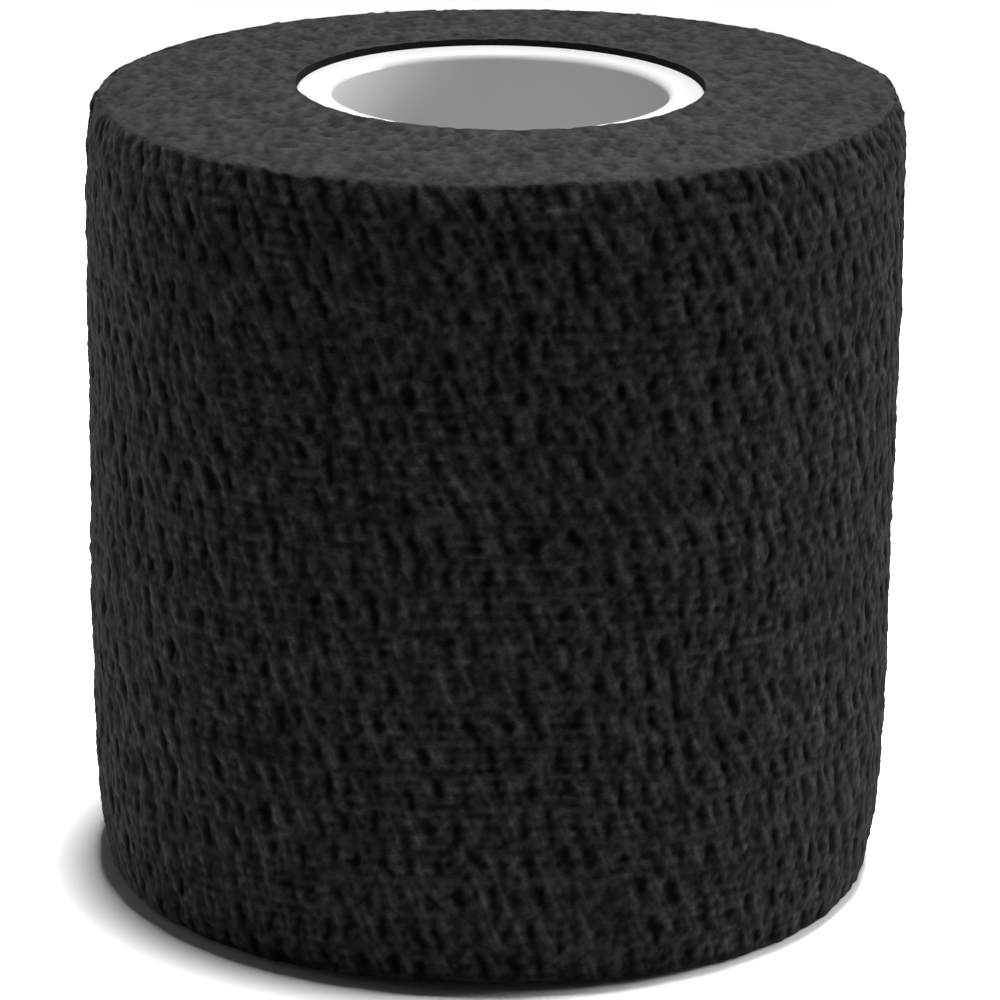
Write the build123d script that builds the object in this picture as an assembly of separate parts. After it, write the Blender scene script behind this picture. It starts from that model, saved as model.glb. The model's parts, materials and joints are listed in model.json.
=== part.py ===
from build123d import *
import os
from math import degrees

# A roll of stretchy grip tape wound on a plastic core, in millimetres.
# It stands on end: the core's axis is Z, and the tape's lower edge lies on Z = 0.
# The tape is one strip. It follows a spiral made of half turns about two centres,
# one on the core's axis and one half a pitch beside it. Each half turn is half a
# pitch larger than the one before, so the strip keeps one thickness and one gap.
# Seen from above, the strip runs clockwise from the core to its free end.

# Tape
TAPE_WIDTH = 50.0         # also the height of the standing roll
TAPE_THICKNESS = 0.74     # relaxed, with its crepe
TURN_CLEARANCE = 0.10     # between the faces of neighbouring turns
TURNS = 15                # whole turns, from the core to the free end
EDGE_DRAW_IN = 0.40       # how far the open turn's two edges are drawn in
EDGE_TAPER_WIDTH = 1.60   # how far from each edge that begins

# Core
CORE_DIAMETER = 25.0
CORE_WALL = 2.2
CORE_RECESS = 0.45        # from the tape's edge in to the core's rim, at each end
CORE_MOUTH_ROUNDING = 0.45
CORE_RIM_ROUNDING = 0.20

# Free end of the tape, in links that hinge on one another as it is peeled back
LINK_NAMES = ("free_end_root", "free_end_middle", "free_end_tip")
LINK_LENGTH = 12.0        # along the outer face
LINK_CLEARANCE = 0.05     # between a link and what it hinges on
CUT_END_BEARING = 100.0   # where the cut end lies around the roll, in degrees from X

TURN_PITCH = TAPE_THICKNESS + TURN_CLEARANCE
HALF_TURNS = 2 * TURNS
LAST_HALF_TURN = HALF_TURNS - 1
FIRST_OPEN_HALF_TURN = HALF_TURNS - 2  # the last whole turn has nothing wound over it

PARTS_FOLDER = "parts"


def half_turn_centre(index):
    """Centre of a half turn: the core's axis for even ones, half a pitch aside for odd ones."""
    aside = TURN_PITCH / 2 * (index % 2)
    return Vector(aside, 0, 0).rotate(Axis.Z, CUT_END_BEARING)


def half_turn_radius(index):
    """Radius of the strip's inner face, which starts against the core."""
    return CORE_DIAMETER / 2 + index * TURN_PITCH / 2


def half_turn_end(index):
    """Bearing of the half turn's end nearer the free end, in degrees."""
    return CUT_END_BEARING + 180 * ((LAST_HALF_TURN - index) % 2)


def covered_arcs(height):
    """The covered turns of one face of the strip from above, each arc ending nearer the core."""
    arcs = []
    for index in range(FIRST_OPEN_HALF_TURN):
        centre = Plane(half_turn_centre(index))
        radius = half_turn_radius(index) + height
        arcs.append(centre * CenterArc((0, 0), radius, half_turn_end(index), 180))
    return arcs


def covered_turns():
    """The strip from the core up to its open turn, square-edged."""
    inner = covered_arcs(0)
    outer = covered_arcs(TAPE_THICKNESS)
    at_core = Line(inner[0] @ 1, outer[0] @ 1)
    at_open_turn = Line(inner[-1] @ 0, outer[-1] @ 0)
    return extrude(make_face(inner + outer + [at_core, at_open_turn]), TAPE_WIDTH)


def open_section(index):
    """Section of the open turn, in its own plane, with its outer face drawn in at both edges."""
    inner = half_turn_radius(index)
    outer = inner + TAPE_THICKNESS
    corners = [
        (inner, 0),
        (outer - EDGE_DRAW_IN, 0),
        (outer, EDGE_TAPER_WIDTH),
        (outer, TAPE_WIDTH - EDGE_TAPER_WIDTH),
        (outer - EDGE_DRAW_IN, TAPE_WIDTH),
        (inner, TAPE_WIDTH),
    ]
    return make_face(Polyline(corners, close=True))


def open_stretch(index, start, angle):
    """Part of an open half turn, from start degrees behind its outer end, over angle degrees."""
    centre = half_turn_centre(index)
    bearing = half_turn_end(index) + start
    across = Vector(1, 0, 0).rotate(Axis.Z, bearing)
    along = Vector(0, 1, 0).rotate(Axis.Z, bearing)
    plane = Plane(origin=centre, x_dir=across, z_dir=-along)
    return revolve(plane * open_section(index), Axis(centre, (0, 0, 1)), angle)


def last_angle(length):
    """Angle that a length along the outer face takes in the last half turn, in degrees."""
    return degrees(length / (half_turn_radius(LAST_HALF_TURN) + TAPE_THICKNESS))


def link_root(number):
    """How far behind the cut end a link has its root, in degrees."""
    return last_angle((len(LINK_NAMES) - number) * LINK_LENGTH - LINK_CLEARANCE)


def link_hinge(number):
    """Foot of a link's hinge axis: the outer corner of the link's root."""
    radius = half_turn_radius(LAST_HALF_TURN) + TAPE_THICKNESS
    bearing = half_turn_end(LAST_HALF_TURN) + link_root(number)
    return half_turn_centre(LAST_HALF_TURN) + Vector(radius, 0, 0).rotate(Axis.Z, bearing)


def tape_winding():
    """Everything that stays wound when the free end is lifted."""
    strip = covered_turns()
    for index in range(FIRST_OPEN_HALF_TURN, LAST_HALF_TURN):
        strip += open_stretch(index, 0, 180)
    free_end = last_angle(len(LINK_NAMES) * LINK_LENGTH)
    return strip + open_stretch(LAST_HALF_TURN, free_end, 180 - free_end)


def free_end_link(number):
    """One link of the free end, just clear of the piece that it hinges on."""
    angle = last_angle(LINK_LENGTH - LINK_CLEARANCE)
    return open_stretch(LAST_HALF_TURN, link_root(number) - angle, angle)


def core_tube():
    """Plastic tube inside the tape, a little shorter than the tape is wide."""
    bore_radius = CORE_DIAMETER / 2 - CORE_WALL
    section = Pos(bore_radius, CORE_RECESS) * Rectangle(
        CORE_WALL, TAPE_WIDTH - 2 * CORE_RECESS, align=(Align.MIN, Align.MIN)
    )
    mouth_corners = section.vertices().group_by(Axis.X)[0]
    section = fillet(mouth_corners, CORE_MOUTH_ROUNDING)
    rim_corners = section.vertices().group_by(Axis.X)[-1]
    section = fillet(rim_corners, CORE_RIM_ROUNDING)
    return revolve(Plane.XZ * section, Axis.Z)


nodes = {"core_tube": core_tube(), "tape_winding": tape_winding()}
for number, name in enumerate(LINK_NAMES):
    nodes[name] = free_end_link(number)

os.makedirs(PARTS_FOLDER, exist_ok=True)
for name, node in nodes.items():
    export_step(node, f"{PARTS_FOLDER}/{name}.step")
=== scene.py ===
import json
from math import atan2, cos, degrees, pi, radians, sin

import bmesh
import bpy
import numpy as np
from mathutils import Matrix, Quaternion, Vector


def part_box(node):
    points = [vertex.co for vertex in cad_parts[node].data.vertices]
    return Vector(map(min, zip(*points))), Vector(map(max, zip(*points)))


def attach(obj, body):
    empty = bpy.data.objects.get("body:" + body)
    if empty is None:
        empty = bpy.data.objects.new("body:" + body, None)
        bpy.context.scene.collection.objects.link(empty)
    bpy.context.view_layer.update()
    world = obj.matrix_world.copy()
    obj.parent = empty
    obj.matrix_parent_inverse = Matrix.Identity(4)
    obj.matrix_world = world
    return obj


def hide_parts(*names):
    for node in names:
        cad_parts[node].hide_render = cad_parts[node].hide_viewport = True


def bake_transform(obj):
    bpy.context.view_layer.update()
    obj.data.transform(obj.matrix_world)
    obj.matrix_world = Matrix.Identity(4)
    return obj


# A roll of crepe grip tape on a white plastic core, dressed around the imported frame.
# The tape is one strip wound clockwise from the core to its cut end. A place on the strip is
# given by how many degrees it lies behind the cut end, its height on the roll, and how far
# it stands above the strip's inner face. Everything is in metres.

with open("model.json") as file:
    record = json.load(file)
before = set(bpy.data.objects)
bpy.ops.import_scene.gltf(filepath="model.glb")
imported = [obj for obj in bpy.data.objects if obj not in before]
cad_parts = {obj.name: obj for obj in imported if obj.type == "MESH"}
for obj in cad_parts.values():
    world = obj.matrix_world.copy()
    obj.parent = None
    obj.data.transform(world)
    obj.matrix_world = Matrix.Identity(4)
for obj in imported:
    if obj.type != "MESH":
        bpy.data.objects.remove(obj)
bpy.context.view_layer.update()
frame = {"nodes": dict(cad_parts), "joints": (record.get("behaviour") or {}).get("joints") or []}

MM = 0.001
CORE_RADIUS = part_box("core_tube")[1].x
TAPE_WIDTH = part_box("tape_winding")[1].z
HINGES = [Vector(joint["pos_m"]) for joint in frame["joints"]]  # root, middle, tip

# The strip's spiral of half turns
CUT_END_BEARING = 100.0   # degrees from X
TAPE_THICKNESS = 0.74 * MM
TURN_PITCH = 0.84 * MM
LAST_HALF_TURN = 29
TURN = 360.0              # degrees
OUTER_RADIUS = CORE_RADIUS + LAST_HALF_TURN * TURN_PITCH / 2 + TAPE_THICKNESS

# Crepe: rows of long pits between the elastic yarns, with a rib on each side of a pit,
# dimples over them, and fine threads along the strip
LONG_PITS = dict(
    pitch=1.85 * MM,              # along the strip
    row_pitch=TAPE_WIDTH / 22,    # the yarns' spacing
    half_width=0.27 * MM,
    half_length=0.80 * MM,
    shallowest=0.38,              # share of the deepest
    unevenness=0.21,              # share of the pitch
    seed=15,
)
DIMPLES = dict(
    pitch=1.00 * MM,
    row_pitch=0.95 * MM,
    half_width=0.16 * MM,
    half_length=0.30 * MM,
    shallowest=-0.6,              # below 0 there is no dimple
    unevenness=0.30,
    seed=16,
)
PIT_DEPTH = 0.16 * MM
DIMPLE_DEPTH = 0.07 * MM
PIT_LEAN = 0.15
ROW_STAGGER = 0.53                # share of the pitch, from one row to the next
RIB_PLACE = 0.68 * MM             # from the middle of its pit
RIB_HALF_WIDTH = 0.15 * MM
RIB_HEIGHT = 0.025 * MM
# The ribs lean enough to join into slanting lines from row to row
RIB_LEAN = (1 - ROW_STAGGER) * LONG_PITS["pitch"] / LONG_PITS["row_pitch"]
THREAD_PITCH = 0.74 * MM
THREAD_HEIGHT = 0.02 * MM
EDGE_SLANT = 1.6 * MM             # how far the pattern is drawn along at the upper edge
CORNER_SLANT = 3.2 * MM           # and more around CORNER_BACK degrees behind the cut end
CORNER_BACK = 236.0
CORNER_SPREAD = 9 * MM
SLANT_REACH = 3.5 * MM            # down from the upper edge
RELIEF_LEVEL = -0.17 * MM         # of the crepe's middle height, from the strip's outer face

# Blotches that make the rows wander, along and across the strip: how far, how large, seed
WANDERING_ALONG = ((0.82 * MM, 9 * MM, 13), (0.14 * MM, 1.2 * MM, 14))
WANDERING_ACROSS = ((0.19 * MM, 6 * MM, 11), (0.06 * MM, 0.7 * MM, 12))

# Fibre tufts, which lean with the pits, and blotches: how high, how much paler (fibre tone, with painted
# highlight on their raised tops), how large, seed
TUFTS = (0.02 * MM, 0.11, 0.42 * MM, 17)
LUMPS = (0.045 * MM, 0.20, 0.41 * MM, 18)
BUMPS = (0.07 * MM, 0, 0.85 * MM, 25)
SWELLS = (0.09 * MM, 0, 1.9 * MM, 19)
GRAIN = (0.025 * MM, 0.12, 0.29 * MM, 20)
TUFT_STRETCH = 0.48               # a tuft's width as a share of its height

# How pale the crepe is: its middle, and how much each form adds or takes. The pits and dimples take
# painted shade, and the ribs and threads add painted highlight where they stand high.
CREPE_PALE = 0.54
PIT_PAINTED_SHADE = 0.48
DIMPLE_PAINTED_SHADE = 0.28
RIB_PAINTED_HIGHLIGHT = 0.34
THREAD_PAINTED_HIGHLIGHT = 0.09
PALEST = 1.15                     # the sum that counts as fully pale
LEAST_PALE = 0.04                 # share of that

# How the wound tape narrows towards its two ends, and how its upper end is domed and tipped
TOP_DRAW_IN = 0.80 * MM
TOP_REACH = 1.28 * MM
BOTTOM_DRAW_IN = 1.22 * MM
BOTTOM_REACH = 3.48 * MM
DOME = 0.42 * MM
TIP_RIGHT = 0.42 * MM
TIP_FRONT = 0.14 * MM
SAG = 0.35 * MM           # of the upper edge, at SAG_BEARING
SAG_BEARING = 24.0
SAG_SPREAD = 15.0
LIFT = 0.05 * MM          # of the lower edge, all round
FRONT_LIFT = 1.30 * MM    # more of it, at FRONT_LIFT_BEARING
FRONT_LIFT_BEARING = 271.0
FRONT_LIFT_SPREAD = 25.0
LOOSE_POWER = 6           # how strongly sag and lift keep to the outermost turns

# The strip's edges and faces
PRESSED_LENGTH = 36.0     # degrees of the free end, pressed thin towards its cut edge
PRESSED_SHARE = 0.36      # of the thickness, at the cut edge
RIM_WIDTH = 0.8 * MM      # beside an edge, where faces that aren't the outermost run smooth
RIM_ROUNDING = 0.10 * MM  # of the outer corner of an edge
ROUNDED_FROM = 0.55       # share of the thickness at which that begins
FRAY = 0.15               # how much the outer face looks like a cut edge, beside the edge
FRAY_REACH = 0.12 * MM
COVERED_SHARE = 0.7       # of the crepe's relief, on the turn under the free end
COVERED_TOP = 0.05 * MM   # the highest that it stands there
COVERED_RIM = 0.095 * MM  # how high that turn's rims stand, just under the free end
BACK_SHIFT = 37 * MM      # along the strip, from the outer face's crepe to the inner face's
BACK_SHARE = 0.5          # of the crepe's relief, on the inner face
BACK_LEVEL = 0.22 * MM    # how far inside the strip's thickness that relief lies
HIDDEN_PALE = 0.3         # of an inner face that is never seen

# The wound ends' faces
BORE_CLEARANCE = 0.03 * MM
TURN_LINE_WIDTH = 0.10    # of the faint line between two turns, in turns
TURN_LINE_DEPTH = 0.02 * MM
TURN_LINE_DARKER = 0.2
BORE_RISE = 0.04 * MM     # of the first turns beside the core
BORE_RISE_REACH = 0.4 * MM

# Mesh
ROWS = 288                # across the tape's width
COLUMN_STEP = 0.28        # degrees
RIM_STEPS = 6             # through the strip's thickness
RING_COLUMNS = 720
RING_STEPS = 60
LATTICE = 512
TINY = 1e-6

MESH_FACTOR = 1.0

# The floor's and the world's levels, as they light the roll and as they are seen
FLOOR_LIT = 0.85
FLOOR_SEEN = 2.8
WORLD_LIT = 0.010
WORLD_SEEN = 1.0


# ---------- random fields ----------

def mottle(across, along, size, seed):
    """A smooth random field from -1 to 1, with blotches as large as size."""
    lattice = np.random.default_rng(seed).uniform(-1, 1, (LATTICE, LATTICE))
    a, b = across / size, along / size
    column, row = np.floor(a).astype(int), np.floor(b).astype(int)
    a, b = a - column, b - row
    a, b = a * a * (3 - 2 * a), b * b * (3 - 2 * b)
    left, right = column % LATTICE, (column + 1) % LATTICE
    low, high = row % LATTICE, (row + 1) % LATTICE
    lower = lattice[left, low] * (1 - a) + lattice[right, low] * a
    upper = lattice[left, high] * (1 - a) + lattice[right, high] * a
    return lower * (1 - b) + upper * b


def smooth_step(value):
    value = np.clip(value, 0, 1)
    return value * value * (3 - 2 * value)


# ---------- the strip's form ----------

def pits(run, height, pitch, row_pitch, half_width, half_length, shallowest, unevenness, seed):
    """How deep in a pit and how high on a rib places lie, from 0 to 1, on an uneven lattice of pits."""
    draws = np.random.default_rng(seed)
    shape = (round(TAPE_WIDTH / row_pitch) + 6, LATTICE)
    along = unevenness * draws.uniform(-1, 1, shape)
    across = 0.6 * unevenness * draws.uniform(-1, 1, shape)
    width = half_width * draws.uniform(0.75, 1.15, shape)
    length = half_length * draws.uniform(0.65, 1.2, shape)
    depth = draws.uniform(shallowest, 1.0, shape)
    lean = draws.normal(PIT_LEAN, 0.10, shape)
    rib = draws.uniform(0.3, 1.0, shape)
    stagger = ROW_STAGGER * np.arange(shape[0]) + 0.8 * unevenness * draws.uniform(-1, 1, shape[0])
    first_row = np.floor(height / row_pitch).astype(int)
    deepest, highest = np.zeros_like(run), np.zeros_like(run)
    for row_step in (-1, 0, 1):
        row = np.clip(first_row + row_step + 3, 0, shape[0] - 1)
        place = run / pitch - stagger[row]
        for step in (-1, 0, 1, 2):
            number = np.floor(place).astype(int) + step
            pick = (row, number % LATTICE)
            up = height - (first_row + row_step + 0.5 + across[pick]) * row_pitch
            sideways = (place - number - along[pick]) * pitch
            aside = (sideways + up * lean[pick]) / width[pick]
            tall = np.abs(up / length[pick]) ** 3
            deepest = np.maximum(deepest, depth[pick] * np.exp(-aside ** 2 - tall))
            beside = (np.abs(sideways + up * RIB_LEAN) - RIB_PLACE) / RIB_HALF_WIDTH
            highest = np.maximum(highest, rib[pick] * np.exp(-beside ** 2 - 0.3 * tall))
    return deepest, highest


def wander(run, height, blotches):
    """How far the pattern is moved at each place."""
    return sum(distance * mottle(run, height, size, seed) for distance, size, seed in blotches)


def crepe(run, height):
    """The crepe's relief, and how pale each place is, from 0 deep in a pit to 1 on a tuft of fibres: fibre
    tone, with painted shade in the pits and dimples and painted highlight on the raised ribs, threads and
    tufts.
    """
    across = height + wander(run, height, WANDERING_ACROSS)
    along = run + wander(run, height, WANDERING_ALONG)
    corner = np.exp(-((run - radians(CORNER_BACK) * OUTER_RADIUS) / CORNER_SPREAD) ** 2)
    along = along + (EDGE_SLANT + CORNER_SLANT * corner) * np.exp((height - TAPE_WIDTH) / SLANT_REACH)
    long_pits, ribs = pits(along, across, **LONG_PITS)
    dimples = pits(along, across, **DIMPLES)[0]
    threads = np.sin(2 * pi * across / THREAD_PITCH) * (0.5 + 0.5 * mottle(run, across * 0.5, 2 * MM, 23))
    relief = THREAD_HEIGHT * threads + RIB_HEIGHT * ribs - PIT_DEPTH * long_pits - DIMPLE_DEPTH * dimples
    # Painted shade darkens the pits and dimples; painted highlight makes the ribs and threads paler where
    # they stand high.
    tone_and_painted_shade = CREPE_PALE + THREAD_PAINTED_HIGHLIGHT * threads + RIB_PAINTED_HIGHLIGHT * ribs - PIT_PAINTED_SHADE * long_pits
    tone_and_painted_shade = tone_and_painted_shade - DIMPLE_PAINTED_SHADE * dimples
    tuft_place = (along + PIT_LEAN * across, across * TUFT_STRETCH)
    layers = [(tuft_place, TUFTS)] + [((run, height), kind) for kind in (LUMPS, BUMPS, SWELLS, GRAIN)]
    # Tufts, lumps and grain are paler where they stand higher: fibre tone with painted highlight.
    for place, (high, paler, size, seed) in layers:
        blotches = mottle(*place, size, seed)
        relief = relief + high * blotches
        tone_and_painted_shade = tone_and_painted_shade + paler * blotches
    relief *= 1 + 0.5 * np.exp((height - TAPE_WIDTH) / (2 * MM))  # rougher beside the upper edge
    return RELIEF_LEVEL + relief, np.clip(tone_and_painted_shade / PALEST, LEAST_PALE, 1) ** 2


def felt(x, y):
    """Height of the fibres on the tape's cut edges, and how pale they are: fibre tone, with painted shade
    where the fibres lie low and painted highlight where they stand high.
    """
    tufts = mottle(x, y * 0.45, 0.50 * MM, 21)
    fibres = mottle(x + y * 0.5, x - y * 0.5, 0.35 * MM, 22)
    wisps = mottle(x, y * 0.5, 1.1 * MM, 24)
    wave = mottle(np.hypot(x, y), np.arctan2(y, x) * 8 * MM, 1.7 * MM, 32)
    height = 0.09 * tufts + 0.05 * fibres + 0.03 * wisps + 0.03 * wave - 0.14
    # Paler where the fibres stand higher: fibre tone with painted shade and highlight.
    tone_and_painted_shade = 0.5 + 0.31 * tufts + 0.28 * fibres + 0.09 * wisps + 0.04 * wave
    return height * MM, np.clip(tone_and_painted_shade, 0, 1)


def draw_in(height):
    """How far the roll's outer face is drawn in at a height."""
    top = TOP_DRAW_IN * np.exp((height - TAPE_WIDTH) / TOP_REACH)
    bottom = BOTTOM_DRAW_IN * np.exp(-height / BOTTOM_REACH)
    return top + bottom


def wind(back, stand, height):
    """X and Y of places back degrees behind the cut end that stand above the strip's inner face."""
    half_turn = LAST_HALF_TURN - np.floor(back / 180)
    aside = TURN_PITCH / 2 * (half_turn % 2)
    radius = CORE_RADIUS + half_turn * TURN_PITCH / 2 + stand
    share = ((radius - CORE_RADIUS) / (OUTER_RADIUS - CORE_RADIUS)) ** 2
    radius = radius - share * draw_in(height)
    cut, bearing = radians(CUT_END_BEARING), np.radians(CUT_END_BEARING + back)
    return aside * cos(cut) + radius * np.cos(bearing), aside * sin(cut) + radius * np.sin(bearing)


def near_bearing(x, y, bearing, spread):
    """How near places lie to a bearing, from 0 to 1."""
    apart = (np.degrees(np.arctan2(y, x)) - bearing + 180) % TURN - 180
    return np.exp(-(apart / spread) ** 2)


def settle(x, y, height):
    """The final Z of a height on the strip: the upper end is domed and tipped, and no edge is level."""
    out = np.clip((np.hypot(x, y) - CORE_RADIUS) / (OUTER_RADIUS - CORE_RADIUS), 0, 1)
    top = TAPE_WIDTH - DOME * out ** 2 + (TIP_RIGHT * out * x - TIP_FRONT * y) / OUTER_RADIUS
    loose = out ** LOOSE_POWER
    top = top - SAG * loose * near_bearing(x, y, SAG_BEARING, SAG_SPREAD)
    bottom = loose * (LIFT + FRONT_LIFT * near_bearing(x, y, FRONT_LIFT_BEARING, FRONT_LIFT_SPREAD))
    return bottom + height * (top - bottom) / TAPE_WIDTH


def back_of(point):
    """How many degrees behind the cut end a point on the strip's outer half turn lies."""
    cut, aside = radians(CUT_END_BEARING), TURN_PITCH / 2
    bearing = atan2(point.y - aside * sin(cut), point.x - aside * cos(cut))
    return (degrees(bearing) - CUT_END_BEARING) % TURN


# ---------- meshes ----------

def coordinates(mesh):
    places = np.empty(len(mesh.vertices) * 3)
    mesh.vertices.foreach_get("co", places)
    return places.reshape(-1, 3)


def add_attribute(mesh, name, values):
    mesh.attributes.new(name, "FLOAT", "POINT").data.foreach_set("value", values.astype(np.float32))


def add_cloth_map(mesh, run, height):
    """A UV map that follows the strip, in metres."""
    layer = mesh.uv_layers.new(name="cloth")
    corner = np.empty(len(mesh.loops), int)
    mesh.loops.foreach_get("vertex_index", corner)
    layer.data.foreach_set("uv", np.stack([run[corner], height[corner]], 1).astype(np.float32).ravel())


def make_piece(name, bm, material):
    bmesh.ops.recalc_face_normals(bm, faces=bm.faces)
    mesh = bpy.data.meshes.new(name)
    bm.to_mesh(mesh)
    bm.free()
    mesh.materials.append(material)
    mesh.polygons.foreach_set("use_smooth", [True] * len(mesh.polygons))
    piece = bpy.data.objects.new(name, mesh)
    bpy.context.scene.collection.objects.link(piece)
    return piece


def edge_row(bm, across):
    """The edges of a flat grid that lie along one of its long sides."""
    return [edge for edge in bm.edges if all(abs(corner.co.y - across) < TINY for corner in edge.verts)]


def extrude_down(bm, row):
    """Extrudes a row of edges one rim step down and returns the new row."""
    made = bmesh.ops.extrude_edge_only(bm, edges=row)["geom"]
    corners = {part for part in made if isinstance(part, bmesh.types.BMVert)}
    bmesh.ops.translate(bm, verts=list(corners), vec=(0, 0, -1 / RIM_STEPS))
    edges = [part for part in made if isinstance(part, bmesh.types.BMEdge)]
    return [edge for edge in edges if corners.issuperset(edge.verts)]


def crease(bm, axis, place):
    """Makes the edges of a flat face sharp, so that its neighbours' shading runs on past it."""
    for edge in bm.edges:
        if all(abs(corner.co[axis] - place) < TINY for corner in edge.verts):
            corners = [corner for face in edge.link_faces for corner in face.verts]
            edge.smooth = all(abs(corner.co[axis] - place) < TINY for corner in corners)


def flat_blank(columns, rows, seen_behind):
    """A flat slab of the strip, one unit long, wide and thick, with its outer face on top."""
    bm = bmesh.new()
    bmesh.ops.create_grid(bm, x_segments=columns, y_segments=rows, size=0.5)
    bmesh.ops.translate(bm, verts=bm.verts, vec=(0.5, 0.5, 1))
    if seen_behind:
        made = bmesh.ops.extrude_face_region(bm, geom=bm.faces[:], use_keep_orig=True)["geom"]
        corners = [part for part in made if isinstance(part, bmesh.types.BMVert)]
        bmesh.ops.translate(bm, verts=corners, vec=(0, 0, -1))
        walls = [edge for edge in bm.edges if abs(edge.verts[0].co.z - edge.verts[1].co.z) > 0.5]
        bmesh.ops.subdivide_edges(bm, edges=walls, cuts=RIM_STEPS - 1, use_grid_fill=True)
    else:
        sides = [edge_row(bm, 0), edge_row(bm, 1)]
        for _ in range(RIM_STEPS):
            sides = [extrude_down(bm, side) for side in sides]
        bmesh.ops.bridge_loops(bm, edges=sides[0] + sides[1])
        bmesh.ops.holes_fill(bm, edges=[edge for edge in bm.edges if edge.is_boundary], sides=0)
    for axis, place in ((0, 0), (0, 1), (2, 0)):
        crease(bm, axis, place)
    return bm


def tape_piece(name, start, end, material, seen_behind=False, covered=False):
    """A stretch of the strip's outermost turns, from start to end degrees behind the cut end."""
    columns = round((end - start) / COLUMN_STEP * MESH_FACTOR)
    rows = round(ROWS * MESH_FACTOR)
    piece = make_piece(name, flat_blank(columns, rows, seen_behind), material)
    mesh = piece.data
    flat = coordinates(mesh)
    back = start + (end - start) * flat[:, 0]
    height = TAPE_WIDTH * flat[:, 1]
    level = flat[:, 2]
    run = np.radians(back) * OUTER_RADIUS
    to_rim = np.minimum(flat[:, 1], 1 - flat[:, 1]) * TAPE_WIDTH
    at_rim = np.exp(-(to_rim / RIM_WIDTH) ** 2)
    relief, tone_and_painted_shade = crepe(run, height)
    if covered:
        relief = np.minimum(COVERED_SHARE * relief, COVERED_TOP)
        relief = relief * (1 - at_rim) + COVERED_RIM * at_rim
    thin = PRESSED_SHARE + (1 - PRESSED_SHARE) * smooth_step(back / PRESSED_LENGTH)
    behind, pale_behind = 0.0, HIDDEN_PALE
    if seen_behind:
        behind, pale_behind = crepe(run + BACK_SHIFT, height)
        behind = np.maximum(BACK_LEVEL + BACK_SHARE * behind, 0) * (1 - at_rim) * thin
    stand = behind * (1 - level) + (TAPE_THICKNESS * thin + relief * np.sqrt(thin)) * level
    # Two half turns meet at each half circle, and a piece's end wall keeps to the half turn it belongs to.
    back = np.clip(back, start + TINY, end - TINY)
    x, y = wind(back, stand, height)
    on_rim = to_rim < TINY * MM
    at_corner = np.clip((level - ROUNDED_FROM) / (1 - ROUNDED_FROM), 0, 1)
    rounding = 0 if covered else RIM_ROUNDING * at_corner ** 2
    inward = np.where(flat[:, 1] > 0.5, -1, 1)
    fibres, fibre_tone_and_shade = felt(x, y)
    z = np.maximum(settle(x, y, height) + inward * on_rim * (rounding - fibres), 0)
    mesh.vertices.foreach_set("co", np.stack([x, y, z], 1).ravel())
    mesh.update()
    outside = level > 1 - TINY
    frayed = FRAY * np.exp(-to_rim / FRAY_REACH)
    add_attribute(mesh, "cut_edge", np.where(on_rim & ~outside, 1, frayed))
    add_attribute(mesh, "tone_and_painted_shade", np.where(outside, tone_and_painted_shade, np.where(on_rim, fibre_tone_and_shade, pale_behind)))
    add_cloth_map(mesh, run, height - inward * (1 - level) * TAPE_THICKNESS)
    return piece


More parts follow.
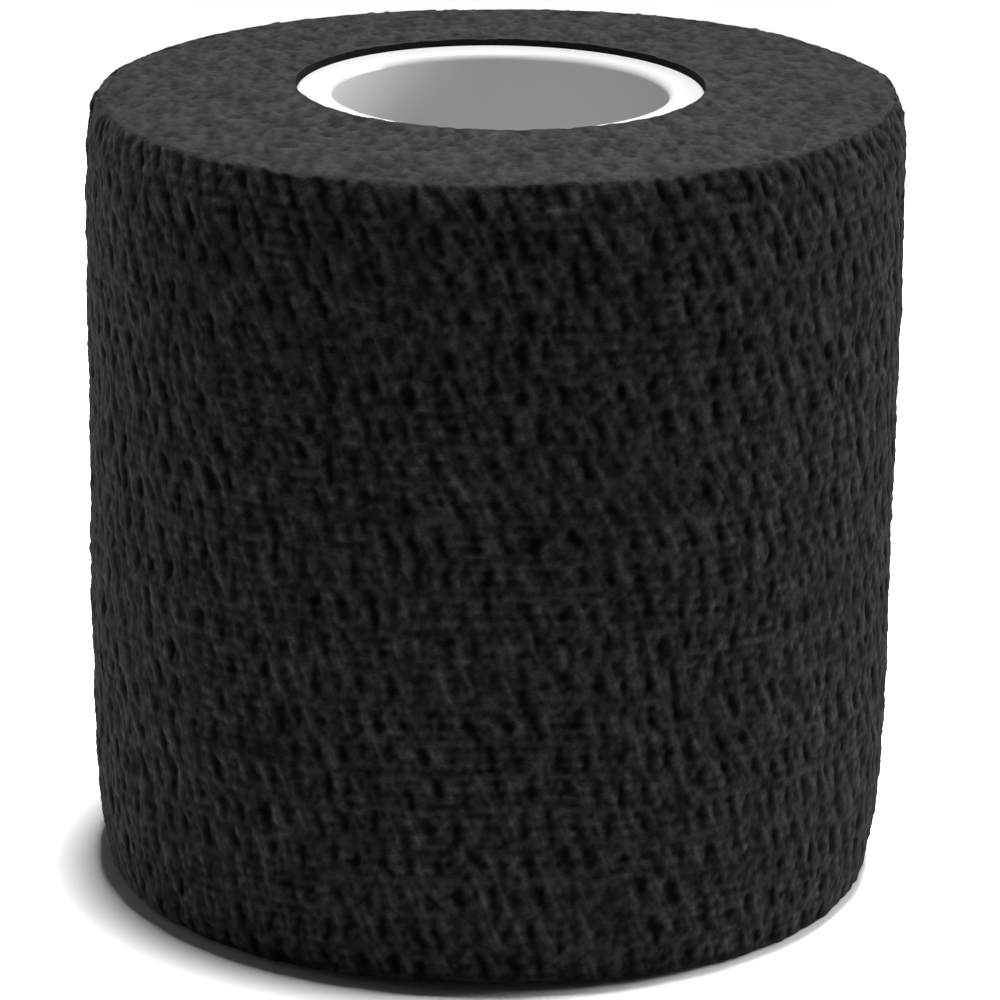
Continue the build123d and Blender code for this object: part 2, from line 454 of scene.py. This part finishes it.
def wound_ring(name, start, material):
    """All the turns under the outermost one, as one ring with a fibrous face at each end."""
    columns, steps = round(RING_COLUMNS * MESH_FACTOR), round(RING_STEPS * MESH_FACTOR)
    bm = bmesh.new()
    bmesh.ops.create_grid(bm, x_segments=steps, y_segments=1, size=0.5)
    inner = [edge for edge in bm.edges if not edge.is_boundary]
    bmesh.ops.delete(bm, geom=bm.faces[:], context="FACES_ONLY")
    bmesh.ops.delete(bm, geom=inner, context="EDGES")
    bmesh.ops.rotate(bm, verts=bm.verts, matrix=Quaternion((1, 0, 0), pi / 2).to_matrix())
    bmesh.ops.translate(bm, verts=bm.verts, vec=(1.5, 0, 0.5))
    bmesh.ops.spin(bm, geom=bm.verts[:] + bm.edges[:], cent=(0, 0, 0), axis=(0, 0, 1), dvec=(0, 0, 0),
                   angle=2 * pi, steps=columns, use_merge=True)
    for end in (0, 1):
        crease(bm, 2, end)
    piece = make_piece(name, bm, material)
    mesh = piece.data
    flat = coordinates(mesh)
    across = np.hypot(flat[:, 0], flat[:, 1]) - 1
    upper = flat[:, 2] > 0.5
    bearing = np.degrees(np.arctan2(flat[:, 1], flat[:, 0]))
    back = start + (bearing - CUT_END_BEARING - start) % TURN
    x_out, y_out = wind(back, np.zeros_like(back), TAPE_WIDTH * flat[:, 2])
    bore = CORE_RADIUS + BORE_CLEARANCE
    x = across * x_out + (1 - across) * bore * np.cos(np.radians(bearing))
    y = across * y_out + (1 - across) * bore * np.sin(np.radians(bearing))
    radius = np.hypot(x, y)
    turns = (radius - CORE_RADIUS) / TURN_PITCH + back / TURN
    between = np.exp(-((turns % 1 - 0.5) / TURN_LINE_WIDTH) ** 2) * (0.5 + 0.5 * mottle(x, y, 4 * MM, 31))
    between *= smooth_step((1 - across) / 0.04)  # none at the ring's outer edge
    near_bore = np.exp(-(radius - bore) / BORE_RISE_REACH)
    fibres, fibre_tone_and_shade = felt(x, y)
    rise = fibres * (1 - 0.6 * near_bore) + BORE_RISE * near_bore - TURN_LINE_DEPTH * between
    z = np.maximum(settle(x, y, TAPE_WIDTH * flat[:, 2]) + np.where(upper, rise, -rise), 0)
    mesh.vertices.foreach_set("co", np.stack([x, y, z], 1).ravel())
    mesh.update()
    add_attribute(mesh, "cut_edge", np.ones(len(flat)))
    add_attribute(mesh, "tone_and_painted_shade", fibre_tone_and_shade * (1 - TURN_LINE_DARKER * between))
    add_cloth_map(mesh, x, y)
    # The ring's upright walls, the tape's bore wall above the core among them, are marked for painted
    # shade.
    painted_shade_faces = np.array([abs(face.normal.z) < 0.5 for face in mesh.polygons], np.float32)
    mesh.attributes.new("painted_wall_shade", "FLOAT", "FACE").data.foreach_set("value", painted_shade_faces)
    return piece


# ---------- materials ----------

def new_material(name):
    material = bpy.data.materials.new(name)
    material.use_nodes = True
    nodes, links = material.node_tree.nodes, material.node_tree.links
    return material, nodes, links, nodes["Principled BSDF"]


def noise_texture(nodes, links, vector, scale, detail):
    texture = nodes.new("ShaderNodeTexNoise")
    texture.inputs["Scale"].default_value = scale
    texture.inputs["Detail"].default_value = detail
    texture.inputs["Roughness"].default_value = 0.6
    links.new(vector, texture.inputs["Vector"])
    return texture.outputs["Fac"]


def mix_colour(nodes, links, factor, first, second):
    """Mixes two colours, each a tuple or a socket."""
    mix = nodes.new("ShaderNodeMix")
    mix.data_type = "RGBA"
    links.new(factor, mix.inputs["Factor"])
    for index, colour in ((6, first), (7, second)):  # the node's two colour sockets
        if isinstance(colour, tuple):
            mix.inputs[index].default_value = (*colour, 1)
        else:
            links.new(colour, mix.inputs[index])
    return mix.outputs[2]


def stretched(nodes, links, value, low, high):
    """Stretches the part of a value from low to high over 0 to 1."""
    stretch = nodes.new("ShaderNodeMapRange")
    stretch.inputs["From Min"].default_value = low
    stretch.inputs["From Max"].default_value = high
    links.new(value, stretch.inputs["Value"])
    return stretch.outputs["Result"]


def attribute_value(nodes, name):
    attribute = nodes.new("ShaderNodeAttribute")
    attribute.attribute_name = name
    return attribute.outputs["Fac"]


def add_bump(nodes, links, shader, height, strength, distance):
    bump = nodes.new("ShaderNodeBump")
    bump.inputs["Strength"].default_value = strength
    bump.inputs["Distance"].default_value = distance
    links.new(height, bump.inputs["Height"])
    links.new(bump.outputs["Normal"], shader.inputs["Normal"])


def crepe_material():
    """Dull black fabric: pale tufts with painted highlight and dark hollows with painted shade on its
    faces, and cut fibres on its edges.
    """
    material, nodes, links, shader = new_material("black_crepe")
    cloth = nodes.new("ShaderNodeUVMap")
    cloth.uv_map = "cloth"
    fibre = noise_texture(nodes, links, cloth.outputs["UV"], 4600, 3)
    fibre = stretched(nodes, links, fibre, 0.3, 0.7)
    # The crest colour is fibre tone with painted highlight; the near-black hollow colour is painted shade.
    crest_tone_and_highlight = mix_colour(nodes, links, fibre, (0.089, 0.089, 0.0899), (0.150, 0.150, 0.1515))
    hollow_painted_shade = mix_colour(nodes, links, fibre, (0.0010, 0.0010, 0.0010), (0.0020, 0.0020, 0.0020))
    tone_and_painted_shade = attribute_value(nodes, "tone_and_painted_shade")
    face = mix_colour(nodes, links, tone_and_painted_shade, hollow_painted_shade, crest_tone_and_highlight)
    # The cut fibres' dark colour is painted shade; their pale colour is fibre tone with painted highlight.
    cut_painted_shade = mix_colour(nodes, links, fibre, (0.0175, 0.0175, 0.0177), (0.028, 0.028, 0.0283))
    cut_tone_and_highlight = mix_colour(nodes, links, fibre, (0.066, 0.066, 0.0667), (0.094, 0.094, 0.0949))
    cut = mix_colour(nodes, links, tone_and_painted_shade, cut_painted_shade, cut_tone_and_highlight)
    colour = mix_colour(nodes, links, attribute_value(nodes, "cut_edge"), face, cut)
    # Painted shade: the ring's upright walls are painted near black.
    colour = mix_colour(nodes, links, attribute_value(nodes, "painted_wall_shade"), colour, (0.010, 0.010, 0.010))
    links.new(colour, shader.inputs["Base Color"])
    shader.inputs["Roughness"].default_value = 0.95
    shader.inputs["Specular IOR Level"].default_value = 0.03
    shader.inputs["Sheen Weight"].default_value = 0.015
    shader.inputs["Sheen Roughness"].default_value = 0.5
    add_bump(nodes, links, shader, fibre, 0.6, 0.06 * MM)
    return material


def core_material():
    """White plastic with a faint cloudiness and a fine grain."""
    material, nodes, links, shader = new_material("white_core_plastic")
    place = nodes.new("ShaderNodeTexCoord")
    cloud = noise_texture(nodes, links, place.outputs["Object"], 180, 3)
    grain = noise_texture(nodes, links, place.outputs["Object"], 2600, 3)
    colour = mix_colour(nodes, links, cloud, (0.925, 0.93, 0.935), (0.95, 0.955, 0.96))
    links.new(colour, shader.inputs["Base Color"])
    shader.inputs["Roughness"].default_value = 0.38
    add_bump(nodes, links, shader, grain, 0.15, 0.02 * MM)
    return material


def ray_switch(nodes, links, lit, seen):
    """A value that is seen by camera, glossy and transmission rays, and lit for the rest."""
    path = nodes.new("ShaderNodeLightPath")
    total = path.outputs["Is Camera Ray"]
    for name in ("Is Glossy Ray", "Is Transmission Ray"):
        larger = nodes.new("ShaderNodeMath")
        larger.operation = "MAXIMUM"
        links.new(total, larger.inputs[0])
        links.new(path.outputs[name], larger.inputs[1])
        total = larger.outputs[0]
    choose = nodes.new("ShaderNodeMapRange")
    choose.inputs["To Min"].default_value = lit
    choose.inputs["To Max"].default_value = seen
    links.new(total, choose.inputs["Value"])
    return choose.outputs["Result"]


def floor_material():
    """A matt floor that lights as a pale one does and is seen as white outside the shadow."""
    material, nodes, links, shader = new_material("pale_floor")
    nodes.remove(shader)
    diffuse = nodes.new("ShaderNodeBsdfDiffuse")
    links.new(ray_switch(nodes, links, FLOOR_LIT, FLOOR_SEEN), diffuse.inputs["Color"])
    links.new(diffuse.outputs["BSDF"], nodes["Material Output"].inputs["Surface"])
    return material


def white_surroundings():
    """A world that is seen as white and lights only faintly."""
    world = bpy.data.worlds.new("studio")
    world.use_nodes = True
    nodes, links = world.node_tree.nodes, world.node_tree.links
    background = nodes["Background"]
    background.inputs["Color"].default_value = (1, 1, 1, 1)
    links.new(ray_switch(nodes, links, WORLD_LIT, WORLD_SEEN), background.inputs["Strength"])
    return world


# ---------- the tape ----------

tape = crepe_material()
root_back, middle_back, tip_back = (back_of(hinge) for hinge in HINGES)
root_middle = (root_back + middle_back) / 2
middle_tip = (middle_back + tip_back) / 2
SEAM_LAP = 1.0  # degrees that the turn under the free end runs on under the turn beside it

ring = wound_ring("wound_turns", root_back, tape)
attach(ring, "roll")
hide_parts("tape_winding")

under = tape_piece("turn_under_free_end", TURN, TURN + root_back + SEAM_LAP, tape, covered=True)
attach(under, "roll")

OUTER_STRETCHES = 4
stretch = (TURN - root_back) / OUTER_STRETCHES
for number in range(OUTER_STRETCHES):
    start = root_back + number * stretch
    piece = tape_piece(f"outer_turn_{number + 1}", start, start + stretch, tape)
    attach(piece, "roll")

FREE_END = (
    ("free_end_root_tape", "free_end_root", "roll", root_middle, root_back, root_back),
    ("free_end_middle_tape", "free_end_middle", "free_end_root", middle_tip, root_middle, middle_back),
    ("free_end_tip_tape", "free_end_tip", "free_end_middle", 0.0, middle_tip, tip_back),
)
for name, body, parent, start, end, hinge_back in FREE_END:
    piece = tape_piece(name, start, end, tape, seen_behind=True)
    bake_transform(piece)
    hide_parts(body)

# ---------- the core ----------

core = frame["nodes"]["core_tube"]
core.data.materials.clear()
core.data.materials.append(core_material())

# ---------- floor, light and camera ----------

FLOOR_SIZE = 0.4
bpy.ops.mesh.primitive_plane_add(size=FLOOR_SIZE)
floor = bpy.context.object
floor.name = "floor"
floor.data.materials.append(floor_material())
bpy.context.scene.world = white_surroundings()


def add_light(name, kind, energy, place, target, **settings):
    lamp = bpy.data.lights.new(name, kind)
    lamp.energy = energy
    for setting, value in settings.items():
        setattr(lamp, setting, value)
    light = bpy.data.objects.new(name, lamp)
    light.location = place
    light.rotation_mode = "QUATERNION"
    light.rotation_quaternion = (Vector(target) - Vector(place)).to_track_quat("-Z", "Y")
    bpy.context.scene.collection.objects.link(light)


middle = Vector((0, 0, TAPE_WIDTH / 2))
add_light("key", "SUN", 2.38, (0.062, 0.052, 0.9967), (0, 0, 0), angle=radians(12))
add_light("over_bore", "AREA", 0.0075, (-0.004, -0.018, 0.10), (0, 0, 0.03), shape="DISK", size=0.016)
add_light("side_left", "AREA", 1.2, (-0.385, 0.32, 0.004), middle,
          shape="RECTANGLE", size=0.3, size_y=0.006)
add_light("side_right", "AREA", 1.25, (0.46, 0.13, 0.17), middle,
          shape="RECTANGLE", size=0.3, size_y=0.2)

CAMERA_DISTANCE = 0.3023
CAMERA_ELEVATION = radians(17.604)
CAMERA_ROLL = radians(0.752)
CAMERA_ASIDE = -0.00069
CAMERA_AIM = Vector((0.0003, 0, 0.0232))
CAMERA_LENS = 173.7
camera = bpy.data.objects.new("camera", bpy.data.cameras.new("camera"))
bpy.context.scene.collection.objects.link(camera)
bpy.context.scene.camera = camera
camera.data.lens = CAMERA_LENS
camera.data.sensor_width = 36
camera.data.clip_start = 0.01
camera.location = middle + CAMERA_DISTANCE * Vector((0, -cos(CAMERA_ELEVATION), sin(CAMERA_ELEVATION)))
camera.location.x = CAMERA_ASIDE
camera.rotation_mode = "QUATERNION"
looking = (CAMERA_AIM - camera.location).to_track_quat("-Z", "Y")
camera.rotation_quaternion = looking @ Quaternion((0, 0, 1), CAMERA_ROLL)

bpy.context.scene.view_settings.view_transform = "Standard"
